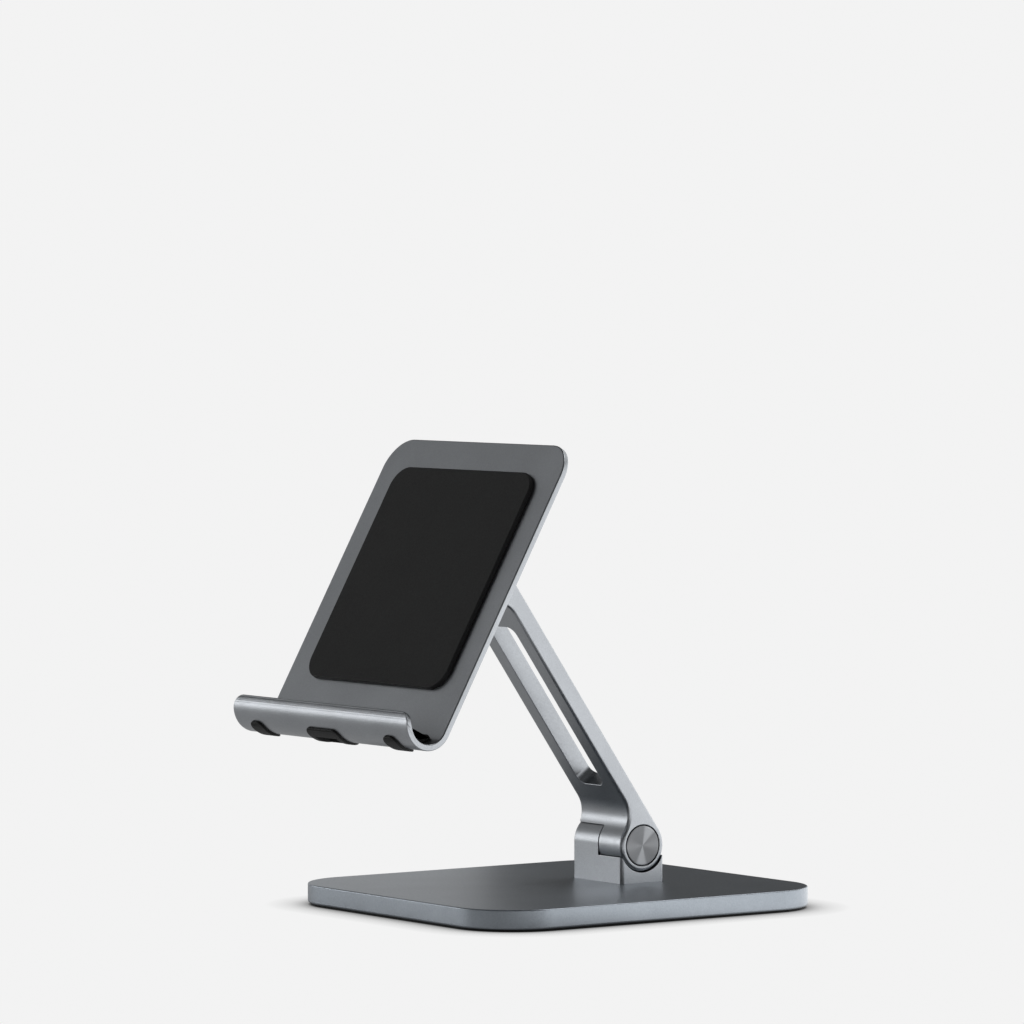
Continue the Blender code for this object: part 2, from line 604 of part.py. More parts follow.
def cut_cable_notch(grip, frame):
    """Cuts a straight notch for a charging cable through the middle grip, out from the hook's centre."""
    out = (-math.cos(CABLE_NOTCH_AT), -math.sin(CABLE_NOTCH_AT))
    outline = []
    for along, across in ((GRIP_INNER_RADIUS / 2, 1), (GRIP_INNER_RADIUS / 2, -1),
                          (HOOK_RADIUS + CUT_PAST, -1), (HOOK_RADIUS + CUT_PAST, 1)):
        half = across * CABLE_NOTCH_DEPTH / 2
        outline.append((HOOK_CENTRE_Y + along * out[0] - half * out[1],
                        -HOOK_BELOW_HINGE + along * out[1] + half * out[0]))
    cut(grip, prism("cut_cable_notch", [outline], -CABLE_NOTCH_WIDTH / 2, CABLE_NOTCH_WIDTH / 2, "X",
                    CUTTERS, None, frame))


def make_bracket_screws(plate, bracket, frame):
    """Four countersunk screws from the plate's front, under the grip pad, into the bracket."""
    head = PLATE_FRONT_Y + BACK_GRIP_POCKET + GAP / 4
    neck = head + BRACKET_SCREW_HEAD_THICKNESS
    hole_end = -CRADLE_RADIUS + GAP / 6
    tip = hole_end - GAP
    for number, (side_x, side_z) in enumerate(((1, 1), (-1, 1), (-1, -1), (1, -1)), 1):
        at = bpy.data.objects.new(f"bracket_screw_{number}_axis", None)
        STAND.objects.link(at)
        at.parent = frame
        at.location = (side_x * SCREW_X, 0.0, side_z * SCREW_Y)
        at.rotation_euler = (0.0, 0.0, math.pi / 2)
        turned(f"bracket_screw_{number}",
               [(0, tip), (BRACKET_SCREW_RADIUS, tip), (BRACKET_SCREW_RADIUS, neck),
                (BRACKET_SCREW_HEAD_RADIUS, head), (0, head)], STAND, STEEL, at)
        cut(plate, turned(f"cut_bracket_screw_{number}_plate",
                          [(0, PLATE_BACK_Y + CUT_PAST), (BRACKET_SCREW_RADIUS + GAP, PLATE_BACK_Y + CUT_PAST),
                           (BRACKET_SCREW_RADIUS + GAP, neck), (BRACKET_SCREW_HEAD_RADIUS + GAP, head),
                           (BRACKET_SCREW_HEAD_RADIUS + GAP, head - CUT_PAST), (0, head - CUT_PAST)],
                          CUTTERS, None, at))
        cut(bracket, rod(f"cut_bracket_screw_{number}_bracket", BRACKET_SCREW_RADIUS + GAP,
                         PLATE_BACK_Y - CUT_PAST, hole_end, CUTTERS, None, at, steps=SMALL_ROUND))


# --- Frames: one empty on each joint's axis ---------------------------------------------------
def frame_at(name, parent, location, lean):
    empty = bpy.data.objects.new(name, None)
    STAND.objects.link(empty)
    empty.parent = parent
    empty.location = location
    empty.rotation_euler = (lean, 0.0, 0.0)
    return empty


clear_scene()
STAND = new_collection("tablet_stand")
CUTTERS = new_collection("cutters")
ALUMINIUM = principled("space_grey_aluminium", (0.23, 0.24, 0.25), 0.42, 1.0)
SPUN = principled("spun_aluminium", (0.45, 0.46, 0.47), 0.30, 1.0)
STEEL = principled("steel", (0.55, 0.55, 0.56), 0.35, 1.0)
RUBBER = principled("black_rubber", (0.018, 0.018, 0.019), 0.75, 0.0)
PLASTIC = principled("white_acetal", (0.80, 0.79, 0.75), 0.45, 0.0)

base_frame = frame_at("base_frame", None, (0.0, 0.0, 0.0), 0.0)
lower_axis = frame_at("lower_hinge_axis", base_frame, (0.0, HINGE_Y, HINGE_Z), 0.0)
arm_axis = frame_at("arm_tilt_axis", lower_axis, (0.0, 0.0, 0.0), ARM_LEAN)
arm_top = frame_at("arm_top", arm_axis, (0.0, 0.0, ARM_LENGTH), 0.0)
holder_axis = frame_at("holder_tilt_axis", arm_top, (0.0, 0.0, 0.0), HOLDER_LEAN - ARM_LEAN)
bracket_frame = frame_at("bracket_frame", holder_axis, (0.0, 0.0, 0.0), -math.pi / 2)

base_plate = make_base(base_frame)
base_block = make_block("base_hinge_block", HINGE_STANDOFF + POCKET_DEPTH - GAP, False, lower_axis)
make_base_screws(base_plate, base_block, lower_axis)
bore_block(base_block, lower_axis)
make_hinge_pieces("lower", lower_axis, arm_axis)

make_arm(arm_axis, arm_top)

holder_plate = make_holder(holder_axis)
make_back_grip(holder_plate, holder_axis)
for grip_name, grip_x in (("hook_grip_left", -HOOK_GRIP_X), ("hook_grip_right", HOOK_GRIP_X)):
    make_hook_grip(grip_name, holder_plate, grip_x, HOOK_SLOT_WIDTH, HOOK_SLOT_END, holder_axis)
cable_grip = make_hook_grip("cable_grip", holder_plate, 0.0, CABLE_SLOT_WIDTH, CABLE_SLOT_END, holder_axis)
cut_cable_notch(cable_grip, holder_axis)
bracket = make_block("holder_bracket", HINGE_STANDOFF - GAP, True, bracket_frame)
make_bracket_screws(holder_plate, bracket, holder_axis)
bore_block(bracket, bracket_frame)
make_hinge_pieces("upper", holder_axis, arm_top)
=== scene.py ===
"""The tablet stand's looks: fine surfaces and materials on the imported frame, in a pale studio."""

import json
import math

import bmesh
import bpy
from mathutils import Matrix, Vector


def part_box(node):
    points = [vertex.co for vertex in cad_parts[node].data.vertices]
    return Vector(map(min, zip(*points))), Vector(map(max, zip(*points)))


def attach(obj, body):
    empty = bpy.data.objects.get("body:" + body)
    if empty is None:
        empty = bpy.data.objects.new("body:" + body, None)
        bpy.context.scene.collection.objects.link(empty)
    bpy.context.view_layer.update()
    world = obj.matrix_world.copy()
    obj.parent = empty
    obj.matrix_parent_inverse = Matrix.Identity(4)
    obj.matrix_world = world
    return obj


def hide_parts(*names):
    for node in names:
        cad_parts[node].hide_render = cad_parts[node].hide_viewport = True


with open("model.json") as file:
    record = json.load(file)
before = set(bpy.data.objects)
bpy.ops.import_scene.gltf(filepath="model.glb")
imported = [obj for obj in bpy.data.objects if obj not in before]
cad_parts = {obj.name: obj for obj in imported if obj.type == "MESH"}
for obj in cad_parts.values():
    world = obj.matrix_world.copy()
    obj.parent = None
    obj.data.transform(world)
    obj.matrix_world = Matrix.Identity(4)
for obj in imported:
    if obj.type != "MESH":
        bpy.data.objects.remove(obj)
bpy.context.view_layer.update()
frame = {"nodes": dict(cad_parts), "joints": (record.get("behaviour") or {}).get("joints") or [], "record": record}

# --- Places, from the frame -------------------------------------------------------------------
JOINTS = {joint["name"]: joint for joint in frame["joints"]}
MOUNTS = {mount["name"]: mount for mount in frame["record"]["mounts"]}
LOWER = Vector(JOINTS["arm_tilt"]["pos_m"])
UPPER = Vector(JOINTS["holder_tilt"]["pos_m"])
BASE_LOW, BASE_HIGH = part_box("base_plate")
PAD_LOW, PAD_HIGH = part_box("base_pad")
ARM_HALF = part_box("arm")[1].x
HOLDER_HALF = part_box("holder_plate")[1].x

ARM_ALONG = UPPER - LOWER
ARM_LENGTH = ARM_ALONG.length
ARM_LEAN = math.atan2(-ARM_ALONG.y, ARM_ALONG.z)
HOLDER_FACE = Vector(MOUNTS["tablet_rest"]["axis"])
HOLDER_LEAN = math.atan2(-HOLDER_FACE.z, -HOLDER_FACE.y)

BASE_FRAME = Matrix.Identity(4)
LOWER_FRAME = Matrix.Translation(LOWER)
ARM_FRAME = LOWER_FRAME @ Matrix.Rotation(ARM_LEAN, 4, "X")
ARM_TOP_FRAME = ARM_FRAME @ Matrix.Translation((0, 0, ARM_LENGTH))
HOLDER_FRAME = Matrix.Translation(UPPER) @ Matrix.Rotation(HOLDER_LEAN, 4, "X")
BRACKET_FRAME = HOLDER_FRAME @ Matrix.Rotation(-math.pi / 2, 4, "X")

# --- Sizes that the frame doesn't state, in metres --------------------------------------------
BASE_CORNER = 0.0245
BASE_CHAMFER = 0.0005
BASE_FOOT_ROUND = 0.0008
BARREL_RADIUS = 0.0096
CRADLE_RADIUS = 0.0099
CRADLE_WALL_BELOW_AXIS = 0.0040
STANDOFF = LOWER.z - BASE_HIGH.z
FOOT_IN_BASE = 0.0017
HAIRLINE = 0.00005
KNUCKLE_SPLIT = 0.0007
KNUCKLE_GAP = 0.0003
EDGE_ROUND = 0.0014
AXLE_BORE = 0.0033
COUNTERBORE = 0.0060
HEAD_BORE_DEPTH = 0.0037
NUT_BORE_DEPTH = 0.0075
WASHER_RECESS = 0.0066
WASHER_RECESS_DEPTH = 0.0006
CAP_RADIUS = 0.00725
CAP_RECESS = 0.0018
CAP_GAP = 0.0003
CAP_THICKNESS = 0.0015
CAP_EDGE = 0.00025
CAP_DISH_DEPTH = 0.00010
CAP_DISH_SHARE = 0.93
FOLD_SHOULDER = 0.0004
ARM_FRONT = 0.00294
ARM_NECK = 0.0100
SLOT_HALF = 0.0075
SLOT_MARGIN = 0.0246
SLOT_CORNER = 0.0035
PLATE_THICKNESS = 0.0023
PLATE_CORNER = 0.0120
PLATE_TOP = 0.0465
HOOK_BELOW = 0.06681
HOOK_RADIUS = 0.00947
LIP_CORNER = 0.0050
BLOCK_BREAK = 0.00018
ARM_BREAK = 0.0003
PLATE_BREAK = 0.00045
BASE_PAD_ROUND = 0.0003
PAST = 0.002

PLATE_BACK = -STANDOFF
PLATE_FRONT = PLATE_BACK - PLATE_THICKNESS
HOOK_Y = PLATE_BACK - HOOK_RADIUS
HOOK_INNER = HOOK_RADIUS - PLATE_THICKNESS


# --- Outlines ---------------------------------------------------------------------------------
def arc(centre, radius, start, end, steps):
    angles = [start + (end - start) * i / steps for i in range(steps + 1)]
    return [(centre[0] + radius * math.cos(a), centre[1] + radius * math.sin(a)) for a in angles]


def rounded_rectangle(width, height, corner, steps):
    points = []
    for quarter, (side_a, side_b) in enumerate(((1, 1), (-1, 1), (-1, -1), (1, -1))):
        centre = (side_a * (width / 2 - corner), side_b * (height / 2 - corner))
        points += arc(centre, corner, quarter * math.pi / 2, (quarter + 1) * math.pi / 2, steps)
    return points


# --- Solids -----------------------------------------------------------------------------------
OUTLINE_AXES = {"X": (1, 2, 0), "Y": (2, 0, 1), "Z": (0, 1, 2)}
SHARP_ANGLE = math.radians(35)
SMOOTH_ANGLE = math.radians(32)


def new_object(name, mesh, place):
    obj = bpy.data.objects.new(name, mesh)
    bpy.context.scene.collection.objects.link(obj)
    obj.matrix_world = place
    return obj


def prism(name, outlines, low, high, along, place):
    """A flat outline, with holes if there are more, pushed from low to high along an axis."""
    curve = bpy.data.curves.new(name, "CURVE")
    curve.dimensions = "2D"
    curve.fill_mode = "BOTH"
    curve.extrude = (high - low) / 2
    for outline in outlines:
        spline = curve.splines.new("POLY")
        spline.points.add(len(outline) - 1)
        for point, (a, b) in zip(spline.points, outline):
            point.co = (a, b, 0.0, 1.0)
        spline.use_cyclic_u = True
    guide = bpy.data.objects.new(name + "_outline", curve)
    bpy.context.scene.collection.objects.link(guide)
    graph = bpy.context.evaluated_depsgraph_get()
    mesh = bpy.data.meshes.new_from_object(guide.evaluated_get(graph))
    bpy.data.objects.remove(guide)
    mesh.materials.clear()
    shape = bmesh.new()
    shape.from_mesh(mesh)
    bmesh.ops.remove_doubles(shape, verts=shape.verts, dist=1e-6)
    flat = [edge for edge in shape.edges
            if len(edge.link_faces) == 2 and edge.calc_face_angle() < 1e-3]
    bmesh.ops.dissolve_edges(shape, edges=flat, use_verts=False)
    first, second, pushed = OUTLINE_AXES[along]
    for vertex in shape.verts:
        a, b, c = vertex.co
        vertex.co[first] = a
        vertex.co[second] = b
        vertex.co[pushed] = c + (low + high) / 2
    turn_outward(shape, mesh)
    return new_object(name, mesh, place)


def turn_outward(shape, mesh):
    """Points every face outward and writes the shape to the mesh."""
    bmesh.ops.recalc_face_normals(shape, faces=shape.faces)
    if shape.calc_volume(signed=True) < 0:
        bmesh.ops.reverse_faces(shape, faces=shape.faces)
    shape.to_mesh(mesh)
    shape.free()


def turned(name, profile, place, steps):
    """A profile of (radius, x) points, from +X down, turned round the place's X axis."""
    shape = bmesh.new()
    points = [shape.verts.new((radius, 0.0, x)) for radius, x in profile]
    for start, end in zip(points, points[1:]):
        shape.edges.new((start, end))
    mesh = bpy.data.meshes.new(name)
    shape.to_mesh(mesh)
    shape.free()
    obj = new_object(name, mesh, place)
    screw = obj.modifiers.new("turn", "SCREW")
    screw.steps = steps
    screw.render_steps = steps
    screw.use_merge_vertices = True
    screw.merge_threshold = 1e-6
    apply_modifiers(obj)
    obj.data.transform(Matrix.Rotation(math.pi / 2, 4, "Y"))
    return obj


def apply_modifiers(obj):
    graph = bpy.context.evaluated_depsgraph_get()
    graph.update()
    mesh = bpy.data.meshes.new_from_object(obj.evaluated_get(graph))
    old = obj.data
    obj.modifiers.clear()
    obj.data = mesh
    mesh.name = obj.name
    bpy.data.meshes.remove(old)


def cut(obj, *cutters, operation="DIFFERENCE"):
    for cutter in cutters:
        boolean = obj.modifiers.new("cut", "BOOLEAN")
        boolean.operation = operation
        boolean.solver = "MANIFOLD"
        boolean.object = cutter
        apply_modifiers(obj)
        bpy.data.objects.remove(cutter)


def soften(obj, width, weight_of, segments):
    """Rounds edges by width times the weight that weight_of gives for each sharp edge's middle."""
    shape = bmesh.new()
    shape.from_mesh(obj.data)
    layer = shape.edges.layers.float.new("bevel_weight_edge")
    for edge in shape.edges:
        if len(edge.link_faces) == 2 and edge.calc_face_angle() > SHARP_ANGLE:
            edge[layer] = weight_of((edge.verts[0].co + edge.verts[1].co) / 2)
    shape.to_mesh(obj.data)
    shape.free()
    bevel = obj.modifiers.new("soften", "BEVEL")
    bevel.limit_method = "WEIGHT"
    bevel.width = width
    bevel.segments = segments
    bevel.use_clamp_overlap = False
    apply_modifiers(obj)


def break_edges(obj, width, segments, sharper_than=SHARP_ANGLE):
    """A fine break on every edge that is still sharp."""
    bevel = obj.modifiers.new("break", "BEVEL")
    bevel.limit_method = "ANGLE"
    bevel.angle_limit = sharper_than
    bevel.width = width
    bevel.segments = segments
    bevel.use_clamp_overlap = False
    bevel.miter_outer = "MITER_ARC"
    apply_modifiers(obj)


def shade(obj):
    for polygon in obj.data.polygons:
        polygon.use_smooth = True
    obj.data.set_sharp_from_angle(angle=SMOOTH_ANGLE)
    weighted = obj.modifiers.new("even", "WEIGHTED_NORMAL")
    weighted.keep_sharp = True
    weighted.weight = 100
    apply_modifiers(obj)


def finish_piece(obj, material, body, nodes):
    obj.data.transform(obj.matrix_world)
    obj.matrix_world = Matrix.Identity(4)
    shade(obj)
    obj.data.materials.clear()
    obj.data.materials.append(material)
    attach(obj, body)
    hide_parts(*nodes)


# --- Materials --------------------------------------------------------------------------------
class Nodes:
    """A short way to write a node tree."""

    def __init__(self, name):
        self.material = bpy.data.materials.new(name)
        self.material.use_nodes = True
        self.tree = self.material.node_tree
        self.shader = self.tree.nodes["Principled BSDF"]
        self.place = self.add("ShaderNodeTexCoord").outputs["Object"]

    def add(self, kind, inputs=None, **settings):
        node = self.tree.nodes.new(kind)
        for key, value in settings.items():
            setattr(node, key, value)
        for key, value in (inputs or {}).items():
            if isinstance(value, bpy.types.NodeSocket):
                self.link(value, node.inputs[key])
            else:
                node.inputs[key].default_value = value
        return node

    def link(self, source, target):
        self.tree.links.new(source, target)

    def noise(self, scale, detail=3.0, roughness=0.5, stretch=(1, 1, 1)):
        place = self.add("ShaderNodeMapping", {"Vector": self.place,
                                               "Scale": stretch}).outputs["Vector"]
        return self.add("ShaderNodeTexNoise", {"Vector": place, "Scale": scale, "Detail": detail,
                                               "Roughness": roughness}).outputs["Fac"]

    def between(self, value, low, high):
        return self.add("ShaderNodeMapRange", {"Value": value, "From Min": 0.3, "From Max": 0.7,
                                               "To Min": low, "To Max": high}).outputs["Result"]

    def colours(self, value, low, high):
        mix = self.add("ShaderNodeMix", data_type="RGBA")
        self.link(value, mix.inputs["Factor"])
        mix.inputs["A"].default_value = (*low, 1)
        mix.inputs["B"].default_value = (*high, 1)
        return mix.outputs["Result"]

    def bump(self, height, distance, strength):
        return self.add("ShaderNodeBump", {"Height": height, "Distance": distance,
                                           "Strength": strength}).outputs["Normal"]

    def set(self, **values):
        for key, value in values.items():
            socket = self.shader.inputs[key.replace("_", " ")]
            if isinstance(value, bpy.types.NodeSocket):
                self.link(value, socket)
            else:
                socket.default_value = value


def blasted_aluminium(name, tone, rough):
    """Bead-blasted, anodised aluminium: tiny craters, a faint cloudiness in colour and gloss."""
    n = Nodes(name)
    grain = n.noise(5200.0, 2.0, 0.6)
    both = n.add("ShaderNodeMath", {0: n.noise(38.0, 2.0), 1: n.noise(2200.0, 1.0)},
                 operation="ADD").outputs[0]
    blend = n.add("ShaderNodeMath", {0: both, 1: 0.5}, operation="MULTIPLY").outputs[0]
    darker = tuple(c * 0.88 for c in tone)
    lighter = tuple(c * 1.12 for c in tone)
    n.set(Base_Color=n.colours(n.between(blend, 0.0, 1.0), darker, lighter), Metallic=1.0,
          Roughness=n.between(n.noise(900.0, 3.0), rough - 0.03, rough + 0.03),
          Normal=n.bump(grain, 0.00002, 0.5))
    return n.material


# A turned face glints in two cones, at these angles round the X axis from +Y towards +Z. They are
# painted, so they turn with the face.
GLINT_ANGLES = (math.radians(63), math.radians(-96))
GLINT_SPREAD = math.radians(26)
GLINT_GAIN = 2.0


def spun_aluminium(name, tone, centre):
    """A face turned on a lathe: fine rings round the X axis through centre, with two painted glints that brighten
    its colour.
    """
    n = Nodes(name)
    place = n.add("ShaderNodeVectorMath", {0: n.place, 1: centre},
                  operation="SUBTRACT").outputs["Vector"]
    split = n.add("ShaderNodeSeparateXYZ", {"Vector": place})
    square_y = n.add("ShaderNodeMath", {0: split.outputs["Y"], 1: 2.0},
                     operation="POWER").outputs[0]
    square_z = n.add("ShaderNodeMath", {0: split.outputs["Z"], 1: 2.0},
                     operation="POWER").outputs[0]
    total = n.add("ShaderNodeMath", {0: square_y, 1: square_z}, operation="ADD").outputs[0]
    radius = n.add("ShaderNodeMath", {0: total, 1: 0.5}, operation="POWER").outputs[0]
    rings = n.add("ShaderNodeTexNoise", {"W": radius, "Scale": 9000.0, "Detail": 3.0},
                  noise_dimensions="1D").outputs["Fac"]
    tangent = n.add("ShaderNodeTangent", direction_type="RADIAL", axis="X").outputs["Tangent"]
    flat = n.add("ShaderNodeVectorMath", {0: place, 1: (0, 1, 1)},
                 operation="MULTIPLY").outputs["Vector"]
    outward = n.add("ShaderNodeVectorMath", {0: flat}, operation="NORMALIZE").outputs["Vector"]
    ring_tone_and_painted_glints = n.between(rings, 0.0, 0.2)
    # Painted glints: two cones round the axis, added to the slight tone change from the rings.
    for angle in GLINT_ANGLES:
        heading = (0, math.cos(angle), math.sin(angle))
        towards = n.add("ShaderNodeVectorMath", {0: outward, 1: heading},
                        operation="DOT_PRODUCT").outputs["Value"]
        glint = n.add("ShaderNodeMapRange",
                      {"Value": towards, "From Min": math.cos(GLINT_SPREAD), "From Max": 1.0,
                       "To Min": 0.0, "To Max": 1.0},
                      interpolation_type="SMOOTHSTEP").outputs["Result"]
        ring_tone_and_painted_glints = n.add("ShaderNodeMath", {0: ring_tone_and_painted_glints, 1: glint}, operation="ADD").outputs[0]
    # The colour runs from the tone up to GLINT_GAIN times it inside the cones: painted glints.
    n.set(Base_Color=n.colours(ring_tone_and_painted_glints, tone, tuple(c * GLINT_GAIN for c in tone)),
          Metallic=1.0, Roughness=n.between(rings, 0.28, 0.38), Anisotropic=0.9,
          Anisotropic_Rotation=0.25, Tangent=tangent, Normal=n.bump(rings, 0.000012, 0.35))
    return n.material


def rubber(name, tone, rough, grain_scale, grain_depth):
    """Matt silicone: a soft sheen and a fine pebbled skin."""
    n = Nodes(name)
    cell = n.add("ShaderNodeTexVoronoi", {"Vector": n.place,
                                          "Scale": grain_scale}).outputs["Distance"]
    cloud = n.noise(60.0, 3.0)
    n.set(Base_Color=n.colours(n.between(cloud, 0.0, 1.0), tuple(c * 0.8 for c in tone), tone),
          Roughness=n.between(n.noise(1400.0), rough - 0.06, rough + 0.06),
          Specular_IOR_Level=0.22, Sheen_Weight=0.03, Sheen_Roughness=0.5,
          Normal=n.bump(cell, grain_depth, 0.5))
    return n.material


def plated_steel(name):
    """Zinc-plated steel with fine drawn streaks."""
    n = Nodes(name)
    streak = n.noise(700.0, 4.0, 0.6, (6.0, 1.0, 1.0))
    n.set(Base_Color=n.colours(n.between(streak, 0.0, 1.0), (0.42, 0.42, 0.43), (0.60, 0.60, 0.61)),
          Metallic=1.0, Roughness=n.between(streak, 0.24, 0.40),
          Normal=n.bump(streak, 0.00001, 0.4))
    return n.material


def acetal(name):
    """Natural acetal: a milky, faintly cloudy plastic."""
    n = Nodes(name)
    cloud = n.noise(500.0, 3.0)
    n.set(Base_Color=n.colours(n.between(cloud, 0.0, 1.0), (0.74, 0.72, 0.66), (0.82, 0.80, 0.75)),
          Roughness=n.between(cloud, 0.40, 0.52), Subsurface_Weight=0.05,
          Normal=n.bump(cloud, 0.00001, 0.3))
    return n.material


BASE_TONE = (0.284, 0.312, 0.344)
ARM_TONE = (0.338, 0.354, 0.374)
CAP_TONE = (0.160, 0.165, 0.172)
BASE_METAL = blasted_aluminium("base_aluminium", BASE_TONE, 0.36)
ARM_METAL = blasted_aluminium("arm_aluminium", ARM_TONE, 0.34)
HOLDER_METAL = blasted_aluminium("holder_aluminium", ARM_TONE, 0.34)
# The caps' colour carries painted glints.
LOWER_CAP_METAL = spun_aluminium("spun_cap_lower_painted_glints", CAP_TONE, LOWER)
UPPER_CAP_METAL = spun_aluminium("spun_cap_upper_painted_glints", CAP_TONE, UPPER)
STEEL = plated_steel("fastener_steel")
ACETAL = acetal("acetal")
GRIP_RUBBER = rubber("grip_rubber", (0.013, 0.0132, 0.0136), 0.62, 3600.0, 0.00002)
BASE_RUBBER = rubber("base_rubber", (0.012, 0.012, 0.0125), 0.75, 2600.0, 0.00003)


# --- Base -------------------------------------------------------------------------------------
HOLE_SIDES = 32


def screw_holes(names, place, radius, low, high, along):
    """Plain clearance holes where the frame has screws, in the place's own coordinates."""
    inverse = place.inverted()
    holes = []
    for name in names:
        node_low, node_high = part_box(name)
        middle = inverse @ ((node_low + node_high) / 2)
        first, second, _ = OUTLINE_AXES[along]
        last_angle = 2 * math.pi * (HOLE_SIDES - 1) / HOLE_SIDES
        outline = arc((middle[first], middle[second]), radius, 0, last_angle, HOLE_SIDES - 1)
        holes.append(prism(f"hole_{name}", [outline], low, high, along, place))
    return holes


BASE_SCREWS = [f"base_screw_{number}" for number in range(1, 5)]
BRACKET_SCREWS = [f"bracket_screw_{number}" for number in range(1, 5)]
BASE_SCREW_HEAD_HIGH = 0.0042
BASE_SCREW_HEAD_RADIUS = 0.0039
BASE_SCREW_RADIUS = 0.0023
BRACKET_SCREW_RADIUS = 0.0018
BRACKET_SCREW_HEAD_RADIUS = 0.0028
BRACKET_SCREW_HEAD_DEPTH = 0.0017
BACK_GRIP_CORNER = 0.0080
BACK_GRIP_POCKET = 0.0006


def make_base():
    width = BASE_HIGH.x - BASE_LOW.x
    depth = BASE_HIGH.y - BASE_LOW.y
    plate = prism("base_plate_body", [rounded_rectangle(width, depth, BASE_CORNER, 28)],
                  BASE_LOW.z, BASE_HIGH.z, "Z", BASE_FRAME)
    top_share = BASE_CHAMFER / BASE_FOOT_ROUND
    middle = (BASE_LOW.z + BASE_HIGH.z) / 2
    soften(plate, BASE_FOOT_ROUND, lambda at: top_share if at.z > middle else 1.0, 4)
    pad_width = PAD_HIGH.x - PAD_LOW.x
    pad_depth = PAD_HIGH.y - PAD_LOW.y
    inset = (width - pad_width) / 2
    gap = KNUCKLE_GAP
    recess = rounded_rectangle(pad_width + 2 * gap, pad_depth + 2 * gap,
                               BASE_CORNER - inset + gap, 28)
    cut(plate, prism("recess", [recess], -PAST, PAD_HIGH.z + gap, "Z", BASE_FRAME))
    cut(plate, *screw_holes(BASE_SCREWS, BASE_FRAME, BASE_SCREW_HEAD_RADIUS,
                            PAD_HIGH.z, BASE_SCREW_HEAD_HIGH, "Z"))
    cut(plate, *screw_holes(BASE_SCREWS, BASE_FRAME, BASE_SCREW_RADIUS,
                            PAD_HIGH.z, BASE_HIGH.z - PAST / 2, "Z"))
    pocket = [(x * (ARM_HALF + HAIRLINE), LOWER.y + y * (BARREL_RADIUS + HAIRLINE))
              for x, y in ((1, 1), (-1, 1), (-1, -1), (1, -1))]
    cut(plate, prism("pocket", [pocket], BASE_HIGH.z - FOOT_IN_BASE - HAIRLINE,
                     BASE_HIGH.z + PAST, "Z", BASE_FRAME))
    finish_piece(plate, BASE_METAL, "base", ["base_plate"])

    sheet = rounded_rectangle(pad_width, pad_depth, BASE_CORNER - inset, 24)
    pad = prism("base_pad_sheet", [sheet], PAD_LOW.z, PAD_HIGH.z, "Z", BASE_FRAME)
    soften(pad, BASE_PAD_ROUND, lambda at: 1.0, 3)
    finish_piece(pad, BASE_RUBBER, "base", ["base_pad"])


# --- Hinge blocks -----------------------------------------------------------------------------
def block_outline(foot, fold_shoulder):
    """A round-topped block. A fold shoulder leaves its barrel free where the arm folds in."""
    radius = BARREL_RADIUS
    if not fold_shoulder:
        return [(radius, -foot)] + arc((0, 0), radius, 0, math.pi, 48) + [(-radius, -foot)]
    shoulder = -radius - FOLD_SHOULDER
    return ([(radius, -foot)] + arc((0, 0), radius, 0, 1.5 * math.pi, 64)
            + [(0, shoulder), (-radius, shoulder), (-radius, -foot)])


def stepped_bore(steps, low_x, place):
    """One round cutter of several radii. Each step is (radius, start x), from +X down."""
    ends = [x for _, x in steps[1:]] + [low_x]
    profile = [(0, steps[0][1])]
    for (radius, start), end in zip(steps, ends):
        profile += [(radius, start), (radius, end)]
    profile.append((0, low_x))
    return turned("bore", profile, place, steps=120)


def make_block(name, foot, fold_shoulder, place, screws, screw_radius, body, node):
    block = prism(name, [block_outline(foot, fold_shoulder)], -ARM_HALF, ARM_HALF, "X", place)
    at_side = ARM_HALF - KNUCKLE_GAP
    soften(block, EDGE_ROUND, lambda at: 1.0 if abs(at.x) > at_side else 0.0, 5)
    hole_top = -CRADLE_RADIUS - KNUCKLE_GAP
    cut(block, *screw_holes(screws, place, screw_radius, -foot - PAST, hole_top, "Z"))
    inner = KNUCKLE_SPLIT - KNUCKLE_GAP / 2
    past = BARREL_RADIUS + PAST
    wall_top = -CRADLE_WALL_BELOW_AXIS
    above = [(past, wall_top), (past, past), (-past, past), (-past, wall_top)]
    cut(block, prism("lands", [above], inner, ARM_HALF + PAST, "X", place))
    cut(block, stepped_bore([
        (CRADLE_RADIUS, ARM_HALF + PAST),
        (WASHER_RECESS, inner),
        (AXLE_BORE, inner - WASHER_RECESS_DEPTH),
        (COUNTERBORE, -ARM_HALF + CAP_RECESS + HEAD_BORE_DEPTH),
        (CAP_RADIUS + CAP_GAP, -ARM_HALF + CAP_RECESS),
    ], -ARM_HALF - PAST, place))
    break_edges(block, BLOCK_BREAK, 2)
    finish_piece(block, ARM_METAL, body, [node])


def make_cap(name, side, place, metal, body, node):
    """A pressed disc with a turned face, a fine broken edge and a shallow dish."""
    face = ARM_HALF
    back = face - CAP_THICKNESS
    edge = CAP_EDGE
    steps = 12
    profile = [(0, face - CAP_DISH_DEPTH)]
    profile += [(CAP_RADIUS * CAP_DISH_SHARE * t / steps,
                 face - CAP_DISH_DEPTH * (1 - (t / steps) ** 2)) for t in range(1, steps + 1)]
    profile += [(CAP_RADIUS - edge, face), (CAP_RADIUS - edge * 0.3, face - edge * 0.3),
                (CAP_RADIUS, face - edge), (CAP_RADIUS, back + edge),
                (CAP_RADIUS - edge, back), (0, back)]
    disc = turned(name, profile, place, steps=128)
    if side < 0:
        disc.data.transform(Matrix.Rotation(math.pi, 4, "Z"))
    finish_piece(disc, metal, body, [node])


